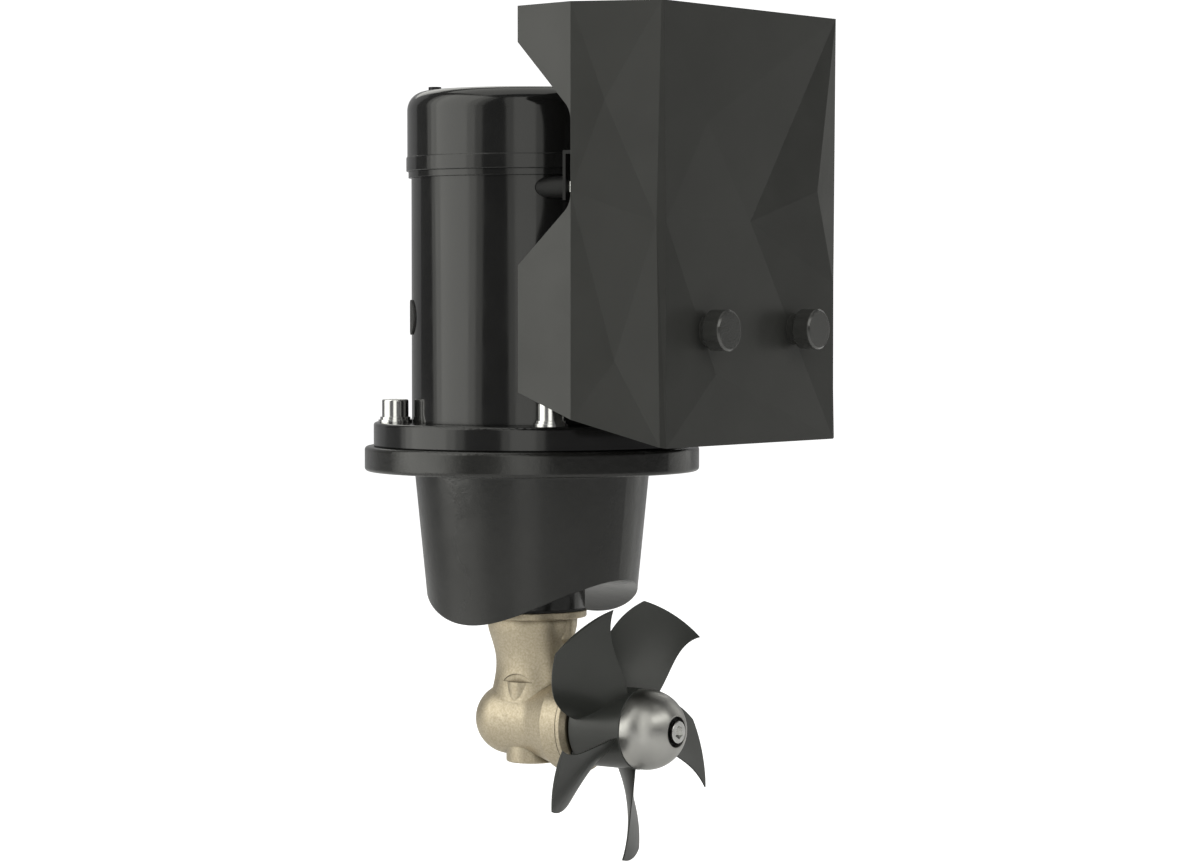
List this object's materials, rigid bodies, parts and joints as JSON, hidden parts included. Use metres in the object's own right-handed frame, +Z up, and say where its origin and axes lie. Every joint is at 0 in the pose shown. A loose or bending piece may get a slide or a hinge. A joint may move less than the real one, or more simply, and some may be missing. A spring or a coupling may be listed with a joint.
{
  "type": "bow thruster",
  "caption": "Electric tunnel thruster for a boat's bow: upright motor on a saddle flange, bronze gear leg, bladed propeller with a nose anode, and a faceted control cover.",
  "frame": {"origin": "where the motor axis crosses the propeller axis, which is the tunnel's axis", "axes": "+Z up along the motor axis, +X along the propeller axis from the leg to the propeller; the control cover faces +X"},
  "size_m": [0.3169, 0.2512, 0.5708],
  "materials": {
    "cast_black": "cast, painted black, finely textured",
    "motor_black": "gloss black enamel",
    "bronze": "sand-cast bronze, bare",
    "plastic_black": "moulded, satin",
    "anode_silver": "turned, satin",
    "zinc_steel": "bright plated",
    "dark_steel": "blackened",
    "shaft_steel": "ground",
    "bearing_steel": "ground, with dark shields",
    "gear_steel": "hardened, oiled",
    "lamination": "soft iron",
    "copper": "copper",
    "brass": "turned",
    "spring_steel": "rolled strip",
    "carbon": "pressed carbon",
    "ferrite": "sintered ferrite",
    "rubber": "moulded",
    "contactor_plastic": "moulded",
    "cover_grey": "moulded, fine matt texture",
    "knob_black": "moulded, satin"
  },
  "bodies": {
    "root": {"saddle_flange": "cast_black", "motor_flange": "cast_black", "flange_screws": "zinc_steel", "flange_washers": "zinc_steel", "motor_housing": "motor_black", "port_plug": "rubber", "field_magnets": "ferrite", "brush_ring": "motor_black", "brush_holders": "brass", "brushes": "carbon", "brush_springs": "spring_steel", "motor_end_cap": "motor_black", "through_bolts": "dark_steel", "motor_bearing_lower": "bearing_steel", "motor_bearing_upper": "bearing_steel", "leg_gasket": "rubber", "gear_leg": "bronze", "leg_bolts": "zinc_steel", "drain_plug": "brass", "drive_bearings": "bearing_steel", "bearing_spacer": "bearing_steel", "drive_shaft_seal": "rubber", "bearing_cap": "bronze", "cap_screws": "zinc_steel", "cap_o_ring": "rubber", "prop_bearing_head": "bearing_steel", "prop_bearing_tail": "bearing_steel", "prop_shaft_seals": "rubber", "control_bracket": "zinc_steel", "bracket_screws": "zinc_steel", "cover_studs": "zinc_steel", "contactor_body": "contactor_plastic", "power_studs": "brass", "stud_nuts": "zinc_steel", "motor_terminals": "brass", "motor_bars": "copper", "control_connector": "contactor_plastic"},
    "rotor": {"motor_shaft": "shaft_steel", "armature_core": "lamination", "armature_windings": "copper", "commutator": "copper", "coupling_upper": "shaft_steel", "coupling_spider": "rubber", "coupling_lower": "shaft_steel", "drive_shaft": "shaft_steel", "pinion_gear": "gear_steel"},
    "propeller_unit": {"crown_gear": "gear_steel", "propeller_shaft": "shaft_steel", "propeller": "plastic_black", "drive_pin": "shaft_steel", "propeller_washer": "zinc_steel", "propeller_nut": "zinc_steel", "nose_anode": "anode_silver", "anode_washer": "zinc_steel", "anode_screw": "zinc_steel"},
    "cover": {"control_cover": "cover_grey"},
    "knob_left": {"knob_left": "knob_black"},
    "knob_right": {"knob_right": "knob_black"},
    "plunger_left": {"plunger_left": "lamination"},
    "plunger_right": {"plunger_right": "lamination"}
  },
  "joints": [
    {"name": "rotor_spin", "type": "hinge", "parent": "root", "child": "rotor", "pos_m": [0, 0, 0], "axis": [0, 0, 1], "continuous": true},
    {"name": "propeller_spin", "type": "hinge", "parent": "root", "child": "propeller_unit", "pos_m": [0, 0, 0], "axis": [1, 0, 0], "continuous": true},
    {"name": "cover_slide", "type": "slide", "parent": "root", "child": "cover", "axis": [1, 0, 0], "range_m": [0, 0.13]},
    {"name": "knob_left_turn", "type": "hinge", "parent": "cover", "child": "knob_left", "pos_m": [0.19, -0.053, 0.2709], "axis": [1, 0, 0], "continuous": true},
    {"name": "knob_right_turn", "type": "hinge", "parent": "cover", "child": "knob_right", "pos_m": [0.19, 0.053, 0.2709], "axis": [1, 0, 0], "continuous": true},
    {"name": "plunger_left_slide", "type": "slide", "parent": "root", "child": "plunger_left", "axis": [0, 0, 1], "range_m": [0, 0.003], "stiffness_N_per_m": 300, "springref_m": -0.003},
    {"name": "plunger_right_slide", "type": "slide", "parent": "root", "child": "plunger_right", "axis": [0, 0, 1], "range_m": [0, 0.003], "stiffness_N_per_m": 300, "springref_m": -0.003}
  ],
  "couplings": [
    {"joint": "propeller_spin", "follows": "rotor_spin", "ratio": -0.66667}
  ]
}
